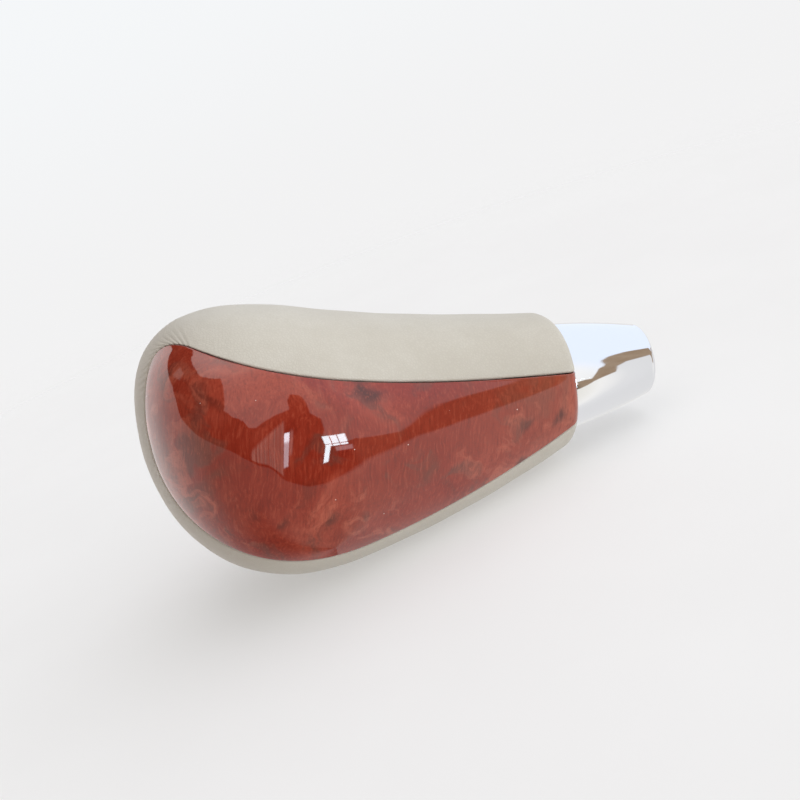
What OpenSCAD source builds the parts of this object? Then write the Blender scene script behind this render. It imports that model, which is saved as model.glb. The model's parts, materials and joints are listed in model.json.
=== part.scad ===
// Gear shift knob: a leather wrapped head with two wood side panels on a tapered chrome collar.
// Pieces are drawn upright, with z = 0 where the body meets the collar and the lever axis along z.
// The spine side faces +x, the belly side -x and the panels face -y and +y.
// The whole knob is then laid on its belly, with the collar toward +x and the spine up.

/* [Body] */
// Height of the body, from the collar joint to the crown of the head
body_h = 95; // [86:0.5:104]
// Radius of the neck above its rolled edge
neck_r = 15.2; // [15.1:0.1:17]
// Radius of the rolled edge at the neck
edge_r = 2.4; // [2:0.1:2.5]
// Reach that the spine side gains evenly from neck to crown
spine_spread = 15; // [10:0.2:19]
// Reach that the spine side gains toward the crown, as a hook
spine_hook = 13; // [8:0.2:17]
// Reach that the belly side would gain at its slope at the neck
belly_spread = 37.6; // [32:0.4:42]
// Part of that reach which the belly side gives back toward the crown
belly_return = 22.2; // [19:0.2:25]
// Reach that each side gains evenly from neck to crown
side_spread = 21; // [17:0.5:24]
// Height of the rounded head above its shoulder
head_h = 40.5; // [38:0.5:43]
// Roundness of the head seen from the side, where 2 is an ellipse
head_round = 2.2; // [2:0.05:2.6]
// Roundness of the head seen from the front
brow_round = 2.05; // [1.95:0.05:2.5]
// Roundness of each cross-section
section_round = 2.3; // [2:0.05:2.6]

/* [Panels] */
// Width of the spine strip beside the panel, seen from the side
spine_margin = 10.9; // [10.4:0.1:11.8]
// Width of the belly strip beside the panel, seen from the side
belly_margin = 8; // [7.4:0.1:9.4]
// Distance from the crown down to the panel's tip
crown_margin = 1.4; // [1:0.1:2.4]
// Offset of the panel's tip from the lever axis, toward the spine
tip_x = 9.2; // [7:0.2:11]
// Drop from the crown to where the panel's spine edge turns in
spine_turn = 12.8; // [12:0.2:17]
// Drop from the crown to where the panel's belly edge turns in
belly_turn = 46; // [40:0.5:50]
// Roundness of the panel's tip on the spine side, where 2 is an ellipse
spine_tip_round = 1.8; // [1.7:0.05:2]
// Roundness of the panel's tip on the belly side
belly_tip_round = 2.45; // [2.2:0.05:2.7]
// Thickness of the lacquered wood
veneer_t = 1.3; // [1:0.1:1.5]
// Thickness of the moulded carrier behind the wood
carrier_t = 1.7; // [1.4:0.1:2]
// Radius of the carrier's pegs
peg_r = 1.8; // [1.4:0.1:2.2]
// Length of the pegs behind the carrier
peg_len = 4; // [3:0.5:4.5]
// Height of the carrier's lower peg above the collar joint
peg_low_z = 24; // [22:0.5:26]
// Offset of the two upper pegs from the middle screw, to either side
peg_spread = 12; // [11:0.5:13]

/* [Leather] */
// Thickness of the leather
leather_t = 1.4; // [1:0.1:1.6]
// Width of leather turned under at the neck
tuck = 1.8; // [1:0.1:2]
// Gap between leather and wood
seam_gap = 0.5; // [0.3:0.1:0.8]

/* [Collar] */
// Length of the collar below the body
collar_len = 22.8; // [20:0.2:28]
// Step from the neck's radius in to the top of the collar
collar_step = 2.6; // [2.5:0.1:3.2]
// Radius of the collar at its mouth
collar_mouth_r = 8.6; // [8.4:0.1:9.4]
// Swell of the collar's side halfway along it
collar_swell = 0.45; // [0:0.05:0.6]
// Radius of the rounded rim at the collar's mouth
rim_r = 1.1; // [0.8:0.1:1.2]
// Radius of the hollow inside the collar
collar_bore_r = 8.2; // [7.9:0.1:8.4]
// Radius of the spigot that plugs into the body
spigot_r = 9.8; // [9.6:0.1:10]
// Height of the spigot above the joint
spigot_h = 9; // [8:0.5:10]
// Height of the snap ring above the joint
ring_z = 5.5; // [4.5:0.1:6]
// Radius of the snap ring's wire
ring_wire_r = 0.6; // [0.5:0.05:0.7]
// Radius of the lip that holds the bush in the mouth
lip_r = 6.9; // [6.7:0.1:7]
// Outer radius of the mouth bush
bush_r = 7.4; // [7.3:0.1:7.5]
// Radius of the bush's hole for the lever
lever_r = 6.1; // [5.5:0.1:6.3]
// Length of the mouth bush
bush_len = 5.8; // [4:0.2:7]

/* [Insert] */
// Outer radius of the threaded insert
insert_r = 6.8; // [6:0.1:7.2]
// Length of the insert
insert_len = 26; // [22:0.5:28]
// Radius of the tapped hole at the thread's crests
thread_r = 3.3235; // [3.3235, 4.1885, 2.5]
// Depth of the tapped hole's full wall
thread_len = 22.4; // [18:0.1:23]
// Width of the insert's hexagon across its flats
hex_flats = 18; // [16:0.5:18.5]
// Height of the hexagon
hex_h = 8; // [6:0.5:10]

/* [Core] */
// Half width of the rib and bosses between the hollows
cell_rib = 4.5; // [4:0.1:5.5]
// Width of each hollow
cell_w = 11; // [7:0.5:12]
// Depth of each hollow from the parting face
cell_depth = 12; // [6:0.5:13]

/* [Screws] */
// Radius of the screw shank
screw_r = 1.45; // [1.2:0.05:1.75]
// Radius of the screw head
screw_head_r = 2.8; // [2.5:0.1:3]
// Thickness of the screw head
screw_head_t = 2; // [1.6:0.1:2.4]
// Depth that the screw reaches into the left core half
screw_bite = 8; // [6:0.5:10]
// Height of the lowest screw above the collar joint
screw_low_z = 43; // [41:0.5:45]
// Height of the middle screw, level with the two upper pegs
screw_mid_z = 63; // [61:0.5:65]
// Drop from the crown to the highest screw
screw_drop = 16; // [15:0.5:17]

/* [Fits] */
// Clearance between pieces that seat on each other
fit = 0.1; // [0.05:0.01:0.15]

/* [Rest] */
// Height up the belly at which the knob touches the ground
touch_z = 33.4; // [30:0.2:36]

/* [Hidden] */
$fn = 48;

// Rows of points along the body: round the neck edge, up the wall and over the head
roll_rows = 4;
wall_rows = 13;
head_rows = 13;
last_row = roll_rows + wall_rows + head_rows;
// Power that packs the wall's rows closer toward the head
row_packing = 0.8;
// Angle at which the panels' rows stop, just short of the tip
tip_angle = 84;
// Columns of points across a panel and across half of the leather strip
panel_cols = 13;
strip_cols = 6;
land_cols = 4;
// Share of the strip's half width that is flat beside the middle
strip_flat = 1 / strip_cols;

shoulder_z = body_h - head_h;
tip_z = body_h - crown_margin;
// Depths below the outer surface at which the pieces lie
land_in = leather_t + fit;
carrier_out = veneer_t + fit;
carrier_in = carrier_out + carrier_t;
pocket_in = carrier_in + fit;
// Length below the core's end face that is cut off flat
end_cut = 1;
// Foot of the insert, with a gap above the spigot's end
insert_gap = 0.6;
insert_z = spigot_h + insert_gap;
// Height of the hexagon above the insert's foot
hex_rise = 4;
// Radius of the collar where it meets the body
collar_top_r = neck_r - collar_step;
// Top of the lip in the collar's mouth
lip_t = 1;
lip_z = lip_t - collar_len;
// Boss that seats on the core's end, with a gap inside the leather turned under
boss_gap = 0.4;
boss_r = neck_r - edge_r - tuck - boss_gap;
// Depth of a screw head's top below the pocket's floor
screw_sink = 1;
// Angle by which the lever axis dips when the knob lies on its belly
dip = atan((belly_spread - 2 * belly_return * touch_z / body_h) / body_h);
// Softened edge of the wood and the leather beside the gap
ease = 0.3;
ease_share = 0.03;

// Outline of the body seen from the side and from the front, before the head is rounded
function share(z) = z / body_h;
function spine_x(z) = neck_r + spine_spread * share(z) + spine_hook * pow(share(z), 3);
function belly_x(z) = -(neck_r + belly_spread * share(z) - belly_return * pow(share(z), 2));
function half_width(z) = neck_r + side_spread * share(z);
function centre_x(z) = (spine_x(z) + belly_x(z)) / 2;
function half_depth(z) = (spine_x(z) - belly_x(z)) / 2;

// Share of the size that is left at a height on the rounded head
function dome(z, bow) =
    z <= shoulder_z ? 1 : pow(max(0, 1 - pow((z - shoulder_z) / head_h, bow)), 1 / bow);

// How far a surface set in by e lies inside the outline, with the neck's rolled edge
function roll_angle(z) = z < edge_r ? acos(1 - z / edge_r) : 90;
function roll_in(z, e) = e < edge_r ? edge_r - (edge_r - e) * sin(roll_angle(z)) : e;

// Height of a surface set in by e, whose foot is cut off flat
function lift(z, e, foot) =
    z < edge_r && e < edge_r ? edge_r - (edge_r - e) * cos(roll_angle(z))
    : z < edge_r ? foot + z * (edge_r - foot) / edge_r
    : z <= shoulder_z ? z
    : shoulder_z + (head_h - e) * (z - shoulder_z) / head_h;

// Point on a surface set in by e, at a share k of the half depth, on the -y side
function skin(k, z, e, foot = 0, extra = 0) =
    let (
        in = roll_in(z, e) + extra,
        a = (half_depth(z) - in) * dome(z, head_round),
        b = (half_width(z) - in) * dome(z, brow_round)
    )
    [
        centre_x(z) + a * k,
        -b * pow(max(0, 1 - pow(abs(k), section_round)), 1 / section_round),
        lift(z, e, foot)
    ];

// Share of the half depth at which a point of the side view lies
function depth_share(x, z) =
    let (a = (half_depth(z) - roll_in(z, 0)) * dome(z, head_round))
    a < 0.01 ? 0 : max(-1, min(1, (x - centre_x(z)) / a));

// Distance of a surface set in by e from the middle plane, at a point of the side view
function side_y(x, z, e) = -skin(depth_share(x, z), z, e)[1];

// Where the panel's edge turns in, on the spine side (s = 1) or belly side (s = -1)
function turn_z(s) = body_h - (s > 0 ? spine_turn : belly_turn);

// Share of the way round the tip that row j has gone, and the height of the rows before that
function tip_share(j) = max(0, (j - roll_rows - wall_rows) / head_rows);
function wall_z(j, s) =
    j < roll_rows ? edge_r * (1 - cos(90 * j / roll_rows))
    : blend(edge_r, turn_z(s), pow((j - roll_rows) / wall_rows, row_packing));
function on_wall(j) = j < roll_rows + wall_rows;

// Row j of the panel's outline in the side view, with its margins widened by off
function edge_line(j, s, off, last_angle) =
    let (
        bow = s > 0 ? spine_tip_round : belly_tip_round,
        a = last_angle * tip_share(j),
        z = on_wall(j) ? wall_z(j, s) : blend(turn_z(s), tip_z - off, pow(sin(a), 2 / bow)),
        edge = s > 0 ? spine_x(z) - spine_margin - off : belly_x(z) + belly_margin + off
    )
    [on_wall(j) ? edge : blend(tip_x, edge, pow(cos(a), 2 / bow)), z];

// How squarely the surface faces the side view at a point, from 0 on its outline to 1
function squareness(p) =
    let (
        h = 0.1,
        z = max(p[1], edge_r + h),
        along_x = side_y(p[0] + h, z, 0) - side_y(p[0] - h, z, 0),
        along_z = side_y(p[0], z + h, 0) - side_y(p[0], z - h, 0)
    )
    1 / norm([1, along_x / (2 * h), along_z / (2 * h)]);

// Row j of the panel's outline, set in by off as measured on the surface
function trim(j, s, off, last_angle = 90) =
    let (p = edge_line(j, s, 0, last_angle))
    off == 0 ? p : edge_line(j, s, off * squareness(p), last_angle);

// Row j of the body's outline in the side view, level with the panel's row
function outline(j, s, last_angle = 90) =
    let (
        start = asin(pow(max(0, (turn_z(s) - shoulder_z) / head_h), head_round / 2)),
        a = blend(start, last_angle, tip_share(j)),
        z = on_wall(j) ? wall_z(j, s) : shoulder_z + head_h * pow(sin(a), 2 / head_round),
        round = on_wall(j) ? dome(z, head_round) : pow(cos(a), 2 / head_round)
    )
    [centre_x(z) + s * (half_depth(z) - roll_in(z, 0)) * round, z];

function blend(a, b, t) = a + (b - a) * t;

// Point in the side view of the strip between outline (w = 0) and trim (w = 1)
function strip_line(j, s, w, off, last_angle = 90) =
    blend(outline(j, s, last_angle), trim(j, s, off, last_angle), w * w);

// Point of the strip, whose middle is flat as far as strip_flat on each side
function strip_point(j, s, w, off, e, extra = 0, last_angle = 90) =
    let (
        q = strip_line(j, s, max(w, strip_flat), off, last_angle),
        p = skin(depth_share(q[0], q[1]), q[1], e, land_in, extra)
    )
    [p[0], p[1] * min(1, w / strip_flat), p[2]];

// Point of the panel area, from the belly edge (c = 0) to the spine edge (c = 1)
function panel_point(j, c, off, e, foot) =
    let (q = blend(trim(j, -1, off, tip_angle), trim(j, 1, off, tip_angle), c))
    skin(depth_share(q[0], q[1]), q[1], e, foot);

// Triangles between two runs of n points, and over a grid of rows
function band(a, b, n) =
    [for (i = [0:n - 2]) each [[a + i, b + i, a + i + 1], [a + i + 1, b + i, b + i + 1]]];
function grid(start, rows, cols) =
    [for (i = [0:rows - 2]) each band(start + i * cols, start + (i + 1) * cols, cols)];
function turned(faces) = [for (f = faces) [f[2], f[1], f[0]]];

// Closed sheet between an outer and an inner grid of points
module sheet(outer, inner, rows, cols) {
    n = rows * cols;
    last = n - cols;
    polyhedron(
        points = concat(outer, inner),
        faces = concat(
            grid(0, rows, cols),
            turned(grid(n, rows, cols)),
            turned(band(0, n, cols)),
            band(last, n + last, cols),
            [for (i = [0:rows - 2]) let (a = i * cols, b = a + cols) each
                [[a, n + a, b], [b, n + a, n + b]]],
            [for (i = [0:rows - 2]) let (a = (i + 1) * cols - 1, b = a + cols) each
                [[a, b, n + a], [b, n + b, n + a]]]
        ),
        convexity = 6
    );
}

// Share across a panel of each column, with a narrow first and last one for the eased edge
function panel_share(c) =
    c == 0 ? 0
    : c == panel_cols - 1 ? 1
    : blend(ease_share, 1 - ease_share, (c - 1) / (panel_cols - 3));
function at_edge(c, count) = c == 0 || c == count - 1;

// Shell of the panel's outline between two depths, on the -y side
module panel_shell(out, in, off, soft) {
    cols = panel_cols - 1;
    sheet(
        [for (j = [0:last_row]) for (c = [0:cols])
            panel_point(j, panel_share(c), off, out + (at_edge(c, panel_cols) ? soft : 0), out)],
        [for (j = [0:last_row]) for (c = [0:cols]) panel_point(j, panel_share(c), off, in, out)],
        last_row + 1,
        panel_cols
    );
}

// Places of the pegs and screws in the side view, along the middle of the body
function middle_place(z, shift = 0) = [centre_x(z) + shift, z];
peg_places = [
    middle_place(peg_low_z),
    middle_place(screw_mid_z, -peg_spread),
    middle_place(screw_mid_z, peg_spread)
];
screw_places = [
    middle_place(screw_low_z),
    middle_place(screw_mid_z),
    middle_place(body_h - screw_drop)
];

// Depth of a screw head's seat from the middle plane
function screw_seat(p) = side_y(p[0], p[1], pocket_in) - screw_head_t - screw_sink;

// Pegs on the back of a carrier, or with a clearance the holes that they plug into
module pegs(clear) {
    for (p = peg_places) {
        y = side_y(p[0], p[1], carrier_in);
        translate([p[0], -y - 0.5 * carrier_t, p[1]])
            rotate([-90, 0, 0])
                cylinder(r = peg_r + clear, h = 0.5 * carrier_t + peg_len + clear);
    }
}

module wood_panel() {
    color("saddlebrown") panel_shell(0, veneer_t, seam_gap / 2, ease);
}

module panel_carrier() {
    color("dimgray") union() {
        panel_shell(carrier_out, carrier_in, seam_gap / 2 + fit, 0);
        pegs(0);
    }
}

module left_side() {
    mirror([0, 1, 0]) children();
}

module right_wood_panel() { wood_panel(); }
module left_wood_panel() { left_side() wood_panel(); }
module right_panel_carrier() { panel_carrier(); }
module left_panel_carrier() { left_side() panel_carrier(); }

// Rows of the leather strip, from the neck over the crown to the neck on the belly side
strip_rows = concat(
    [[0, 1, tuck]],
    [for (j = [0:last_row]) [j, 1, 0]],
    [for (j = [last_row - 1:-1:0]) [j, -1, 0]],
    [[0, -1, tuck]]
);

strip_columns = [for (c = [-strip_cols:strip_cols]) if (c != 0) c];

function leather_point(row, c, e) =
    let (
        w = abs(c) / strip_cols,
        soft = abs(c) == strip_cols ? ease : 0,
        p = strip_point(row[0], row[1], w, -seam_gap / 2, e == 0 ? soft : e, row[2])
    )
    [p[0], c < 0 ? p[1] : -p[1], p[2]];

module leather_wrap() {
    color("antiquewhite") sheet(
        [for (r = strip_rows) for (c = strip_columns) leather_point(r, c, 0)],
        [for (r = strip_rows) for (c = strip_columns) leather_point(r, c, leather_t)],
        len(strip_rows),
        len(strip_columns)
    );
}

// Half of the core on the -y side, with a land for the leather and a pocket for the panel
module core_block() {
    cols = 2 * land_cols + panel_cols;
    land = land_cols - 1;
    wall = 2 * fit;
    function core_point(j, c) =
        c <= land ? strip_point(j, -1, c / land, 0, land_in, 0, tip_angle)
        : c < land_cols + panel_cols
            ? panel_point(j, (c - land_cols) / (panel_cols - 1), wall, pocket_in, land_in)
        : strip_point(j, 1, (cols - 1 - c) / land, 0, land_in, 0, tip_angle);
    rows = last_row + 2;
    rim = rows * cols;
    top = (rows - 1) * cols;
    pole = rim + panel_cols;
    pocket = top + land_cols;
    polyhedron(
        points = concat(
            [for (c = [0:cols - 1]) core_point(0, c) - [0, 0, end_cut]],
            [for (j = [0:last_row]) for (c = [0:cols - 1]) core_point(j, c)],
            [for (c = [0:panel_cols - 1])
                panel_point(last_row, c / (panel_cols - 1), wall, land_in, land_in)],
            [skin(0, body_h, land_in)]
        ),
        faces = concat(
            grid(0, rows, cols),
            band(pocket, rim, panel_cols),
            [for (i = [0:land - 1]) [top + i, pole, top + i + 1]],
            [[top + land, rim, pocket], [top + land, pole, rim]],
            [for (i = [0:panel_cols - 2]) [rim + i, pole, rim + i + 1]],
            [
                [rim + panel_cols - 1, pole, pocket + panel_cols],
                [pocket + panel_cols - 1, rim + panel_cols - 1, pocket + panel_cols]
            ],
            [for (i = [0:land - 1]) let (a = pocket + panel_cols + i) [a, pole, a + 1]],
            [[for (c = [0:cols - 1]) c]],
            [concat(
                [for (j = [0:rows - 1]) (rows - 1 - j) * cols],
                [for (j = [0:rows - 1]) j * cols + cols - 1],
                [pole]
            )]
        ),
        convexity = 8
    );
}

// Solids that the core is bored for: the insert, the spigot and its snap ring
module insert_body(clear) {
    translate([0, 0, insert_z - clear]) {
        cylinder(r = insert_r + clear, h = insert_len + 2 * clear);
        translate([0, 0, hex_rise])
            cylinder(r = (hex_flats / 2 + clear) / cos(30), h = hex_h + 2 * clear, $fn = 6);
    }
}

module ring_groove(r) {
    translate([0, 0, ring_z])
        rotate_extrude()
            translate([spigot_r + fit / 2, 0])
                circle(r = r);
}

// Room for one screw: its head, its shank through the right half and its bite in the left half
module screw_room(p) {
    seat = screw_seat(p);
    translate([p[0], 0, p[1]])
        rotate([90, 0, 0]) {
            translate([0, 0, -screw_bite - 1])
                cylinder(r = screw_r + fit, h = seat + screw_bite + 1);
            translate([0, 0, seat])
                cylinder(r = screw_head_r + fit, h = body_h);
        }
}

// Hollows beside the middle rib, open on the parting face
module cells() {
    for (i = [0:len(screw_places) - 2], s = [-1, 1]) {
        low = screw_places[i][1] + cell_rib;
        high = screw_places[i + 1][1] - cell_rib;
        middle = middle_place((low + high) / 2);
        translate([middle[0] + s * (cell_rib + cell_w / 2), 0, middle[1]])
            cube([cell_w, 2 * cell_depth, high - low], center = true);
    }
}

// Cuts the bores and hollows of the core out of one half's block and peg holes
module bored() {
    difference() {
        children(0);
        children(1);
        insert_body(fit);
        cylinder(r = spigot_r + fit, h = insert_z);
        translate([0, 0, land_in - 2 * end_cut])
            cylinder(r = neck_r, h = 2 * end_cut);
        ring_groove(ring_wire_r + fit);
        for (p = screw_places) screw_room(p);
        cells();
    }
}

module right_core_half() {
    color("#2b2b2e") bored() {
        core_block();
        pegs(fit);
    }
}

module left_core_half() {
    color("#2b2b2e") bored() {
        left_side() core_block();
        left_side() pegs(fit);
    }
}

// Self-tapping screw with a hexagon socket, put in from the right half
module core_screw(i) {
    p = screw_places[i];
    seat = screw_seat(p);
    tip = 1.5;
    color("silver") translate([p[0], 0, p[1]]) rotate([90, 0, 0]) difference() {
        union() {
            translate([0, 0, seat]) cylinder(r = screw_head_r, h = screw_head_t);
            translate([0, 0, tip - screw_bite]) cylinder(r = screw_r, h = seat + screw_bite - tip);
            translate([0, 0, -screw_bite]) cylinder(r1 = screw_r / 4, r2 = screw_r, h = tip);
        }
        translate([0, 0, seat + screw_head_t / 3])
            cylinder(r = screw_head_r / 2, h = screw_head_t, $fn = 6);
    }
}

module core_screw_1() { core_screw(0); }
module core_screw_2() { core_screw(1); }
module core_screw_3() { core_screw(2); }

// Insert with a blind tapped hole that opens toward the collar
module threaded_insert() {
    mouth = 1;
    color("goldenrod") difference() {
        insert_body(0);
        translate([0, 0, insert_z - 1])
            cylinder(r = thread_r, h = 1 + mouth + thread_len);
        translate([0, 0, insert_z])
            cylinder(r1 = thread_r + mouth, r2 = thread_r, h = mouth);
        translate([0, 0, insert_z + mouth + thread_len])
            cylinder(r1 = thread_r, r2 = 0, h = thread_r * tan(31));
    }
}

// Outer radius of the collar at a share of its length
function collar_r(t) = blend(collar_top_r, collar_mouth_r, t) + 4 * collar_swell * t * (1 - t);

// Half section of the collar, from its joint down the outside, round the rim and up the inside
module collar_section() {
    steps = 12;
    bevel = 0.4;
    cone_h = 1.5;
    straight = collar_len - rim_r;
    seat = bush_r + fit;
    polygon(concat(
        [for (i = [0:steps]) [collar_r(i / steps), -straight * i / steps]],
        [for (a = [15:15:90])
            [collar_mouth_r - rim_r + rim_r * cos(a), -straight - rim_r * sin(a)]],
        [
            [lip_r, -collar_len],
            [lip_r, lip_z],
            [seat, lip_z],
            [seat, lip_z + bush_len + fit],
            [collar_bore_r, lip_z + bush_len + fit + cone_h],
            [collar_bore_r, spigot_h],
            [spigot_r - bevel, spigot_h],
            [spigot_r, spigot_h - bevel],
            [spigot_r, land_in],
            [boss_r, land_in],
            [boss_r, 0]
        ]
    ));
}

module chrome_collar() {
    color("gainsboro") difference() {
        rotate_extrude() collar_section();
        ring_groove(ring_wire_r + fit);
    }
}

// Split wire ring that locks the spigot in the core
module snap_ring() {
    opening = 24;
    color("silver") translate([0, 0, ring_z])
        rotate([0, 0, 90 + opening / 2])
            rotate_extrude(angle = 360 - opening)
                translate([spigot_r + fit / 2, 0])
                    circle(r = ring_wire_r);
}

// Bush that steadies the lever in the collar's mouth
module mouth_bush() {
    bevel = 0.3;
    color("black") translate([0, 0, lip_z]) rotate_extrude() polygon([
        [lever_r + bevel, 0],
        [bush_r, 0],
        [bush_r, bush_len],
        [lever_r + bevel, bush_len],
        [lever_r, bush_len - bevel],
        [lever_r, bevel]
    ]);
}

// Lays the upright knob on its belly, with its lowest point at z = 0 and centred over x = 0
function laid(p) = [p[0] * sin(dip) - p[1] * cos(dip), p[0] * cos(dip) + p[1] * sin(dip)];
side_points = [
    for (s = [-1, 1]) for (j = [0:last_row]) laid(strip_line(j, s, strip_flat, -seam_gap / 2))
];
low_z = min([for (p = side_points) p[1]]);
head_end = min([for (p = side_points) p[0]]);
collar_end = laid([collar_mouth_r - rim_r, rim_r - collar_len])[0] + rim_r;

module lie() {
    translate([-(head_end + collar_end) / 2, 0, -low_z])
        rotate([0, dip - 90, 0])
            children();
}

lie() right_wood_panel();
lie() left_wood_panel();
lie() right_panel_carrier();
lie() left_panel_carrier();
lie() leather_wrap();
lie() right_core_half();
lie() left_core_half();
lie() core_screw_1();
lie() core_screw_2();
lie() core_screw_3();
lie() threaded_insert();
lie() chrome_collar();
lie() snap_ring();
lie() mouth_bush();
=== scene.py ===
"""Gear shift knob lying on its belly: leather strip, two lacquered burl panels and a chrome collar.

Shapes follow the same named sizes and formulas as the CAD source. They are worked out in
millimetres on the upright knob, with z up the lever axis, and laid down by to_row().
"""
import json
import math

import bpy
import numpy as np
from mathutils import Matrix, Vector


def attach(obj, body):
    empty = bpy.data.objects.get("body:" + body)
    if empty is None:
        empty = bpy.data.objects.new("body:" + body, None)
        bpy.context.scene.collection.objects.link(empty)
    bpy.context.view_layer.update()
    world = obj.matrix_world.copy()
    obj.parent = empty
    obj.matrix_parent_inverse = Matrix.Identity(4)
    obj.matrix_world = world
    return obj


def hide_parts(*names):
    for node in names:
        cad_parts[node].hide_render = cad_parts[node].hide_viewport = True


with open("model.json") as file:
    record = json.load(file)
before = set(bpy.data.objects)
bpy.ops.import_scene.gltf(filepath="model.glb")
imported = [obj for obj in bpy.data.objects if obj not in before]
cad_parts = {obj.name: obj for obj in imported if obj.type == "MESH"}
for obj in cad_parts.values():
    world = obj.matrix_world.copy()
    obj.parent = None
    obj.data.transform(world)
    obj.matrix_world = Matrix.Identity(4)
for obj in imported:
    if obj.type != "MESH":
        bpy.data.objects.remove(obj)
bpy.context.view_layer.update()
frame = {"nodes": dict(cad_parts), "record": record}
nodes = frame["nodes"]

# Sizes of the knob, in millimetres
BODY_H, NECK_R, EDGE_R = 95.0, 15.2, 2.4
SPINE_SPREAD, SPINE_HOOK = 15.0, 13.0
BELLY_SPREAD, BELLY_RETURN = 37.6, 22.2
SIDE_SPREAD = 21.0
HEAD_H, HEAD_ROUND, BROW_ROUND, SECTION_ROUND = 40.5, 2.2, 2.05, 2.3
SPINE_MARGIN, BELLY_MARGIN, CROWN_MARGIN = 10.9, 8.0, 1.4
TIP_X, SPINE_TURN, BELLY_TURN = 9.2, 12.8, 46.0
SPINE_TIP_ROUND, BELLY_TIP_ROUND = 1.8, 2.45
VENEER_T, LEATHER_T, TUCK, SEAM_GAP = 1.3, 1.4, 1.8, 0.5
COLLAR_LEN, COLLAR_TOP_R, COLLAR_MOUTH_R = 22.8, 12.6, 8.6
COLLAR_SWELL, RIM_R, COLLAR_BORE_R = 0.45, 1.1, 8.2
SPIGOT_R, SPIGOT_H, LIP_R, BUSH_R, BUSH_LEN = 9.8, 9.0, 6.9, 7.4, 5.8
INSERT_R, INSERT_LEN, HEX_FLATS, HEX_H, HEX_RISE = 6.8, 26.0, 18.0, 8.0, 4.0
THREAD_R, THREAD_LEN, THREAD_PITCH, THREAD_DEPTH = 3.3235, 22.4, 1.25, 0.62
FIT, TOUCH_Z, STRIP_FLAT = 0.1, 33.4, 1 / 6
ROLL_ROWS, WALL_ROWS, HEAD_ROWS, ROW_PACKING = 4, 13, 13, 0.8

SHOULDER_Z = BODY_H - HEAD_H
TIP_Z = BODY_H - CROWN_MARGIN
LAST_ROW = ROLL_ROWS + WALL_ROWS + HEAD_ROWS
LAND_IN = LEATHER_T + FIT
INSERT_Z = SPIGOT_H + 0.6
BOSS_R = NECK_R - EDGE_R - TUCK - 0.4
DIP = math.atan((BELLY_SPREAD - 2 * BELLY_RETURN * TOUCH_Z / BODY_H) / BODY_H)


def spine_x(z):
    return NECK_R + SPINE_SPREAD * z / BODY_H + SPINE_HOOK * (z / BODY_H) ** 3


def belly_x(z):
    return -(NECK_R + BELLY_SPREAD * z / BODY_H - BELLY_RETURN * (z / BODY_H) ** 2)


def half_width(z):
    return NECK_R + SIDE_SPREAD * z / BODY_H


def centre_x(z):
    return (spine_x(z) + belly_x(z)) / 2


def half_depth(z):
    return (spine_x(z) - belly_x(z)) / 2


def dome(z, bow):
    u = np.clip((z - SHOULDER_Z) / HEAD_H, 0, 1)
    return np.clip(1 - u**bow, 0, None) ** (1 / bow)


def roll_angle(z):
    return np.arccos(np.clip(1 - np.minimum(z, EDGE_R) / EDGE_R, -1, 1))


def roll_in(z, e):
    return np.where(e < EDGE_R, EDGE_R - (EDGE_R - e) * np.sin(roll_angle(z)), e)


def lift(z, e, foot):
    """Height of a surface set in by e, whose foot is cut off flat."""
    rolled = EDGE_R - (EDGE_R - e) * np.cos(roll_angle(z))
    straight = foot + z * (EDGE_R - foot) / EDGE_R
    head = SHOULDER_Z + (HEAD_H - e) * (z - SHOULDER_Z) / HEAD_H
    low = np.where(e < EDGE_R, rolled, straight)
    return np.where(z < EDGE_R, low, np.where(z <= SHOULDER_Z, z, head))


def skin(k, z, e, foot=0.0, extra=0.0):
    """Points of a surface set in by e, at shares k of the half depth, on the -y side."""
    inside = roll_in(z, e) + extra
    a = (half_depth(z) - inside) * dome(z, HEAD_ROUND)
    b = (half_width(z) - inside) * dome(z, BROW_ROUND)
    y = -b * np.clip(1 - np.abs(k) ** SECTION_ROUND, 0, None) ** (1 / SECTION_ROUND)
    return np.stack(np.broadcast_arrays(centre_x(z) + a * k, y, lift(z, e, foot)), -1)


def depth_share(x, z):
    a = (half_depth(z) - roll_in(z, 0.0)) * dome(z, HEAD_ROUND)
    return np.where(a < 0.01, 0.0, np.clip((x - centre_x(z)) / np.maximum(a, 0.01), -1, 1))


def side_y(x, z):
    return -skin(depth_share(x, z), z, 0.0)[..., 1]


def blend(a, b, t):
    return a + (b - a) * t


def turn_z(s):
    return BODY_H - (SPINE_TURN if s > 0 else BELLY_TURN)


def tip_share(j):
    return np.clip((j - ROLL_ROWS - WALL_ROWS) / HEAD_ROWS, 0, 1)


def wall_z(j, s):
    up = np.clip((j - ROLL_ROWS) / WALL_ROWS, 0, 1) ** ROW_PACKING
    round_edge = EDGE_R * (1 - np.cos(np.radians(90 * np.minimum(j, ROLL_ROWS) / ROLL_ROWS)))
    return np.where(j < ROLL_ROWS, round_edge, blend(EDGE_R, turn_z(s), up))


def edge_line(j, s, off):
    bow = SPINE_TIP_ROUND if s > 0 else BELLY_TIP_ROUND
    a = np.radians(90) * tip_share(j)
    wall = j <= ROLL_ROWS + WALL_ROWS
    z = np.where(wall, wall_z(j, s), blend(turn_z(s), TIP_Z - off, np.sin(a) ** (2 / bow)))
    if s > 0:
        edge = spine_x(z) - SPINE_MARGIN - off
    else:
        edge = belly_x(z) + BELLY_MARGIN + off
    return np.where(wall, edge, blend(TIP_X, edge, np.abs(np.cos(a)) ** (2 / bow))), z


def squareness(x, z):
    h = 0.1
    z = np.maximum(z, EDGE_R + h)
    along_x = (side_y(x + h, z) - side_y(x - h, z)) / (2 * h)
    along_z = (side_y(x, z + h) - side_y(x, z - h)) / (2 * h)
    return 1 / np.sqrt(1 + along_x**2 + along_z**2)


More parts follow.
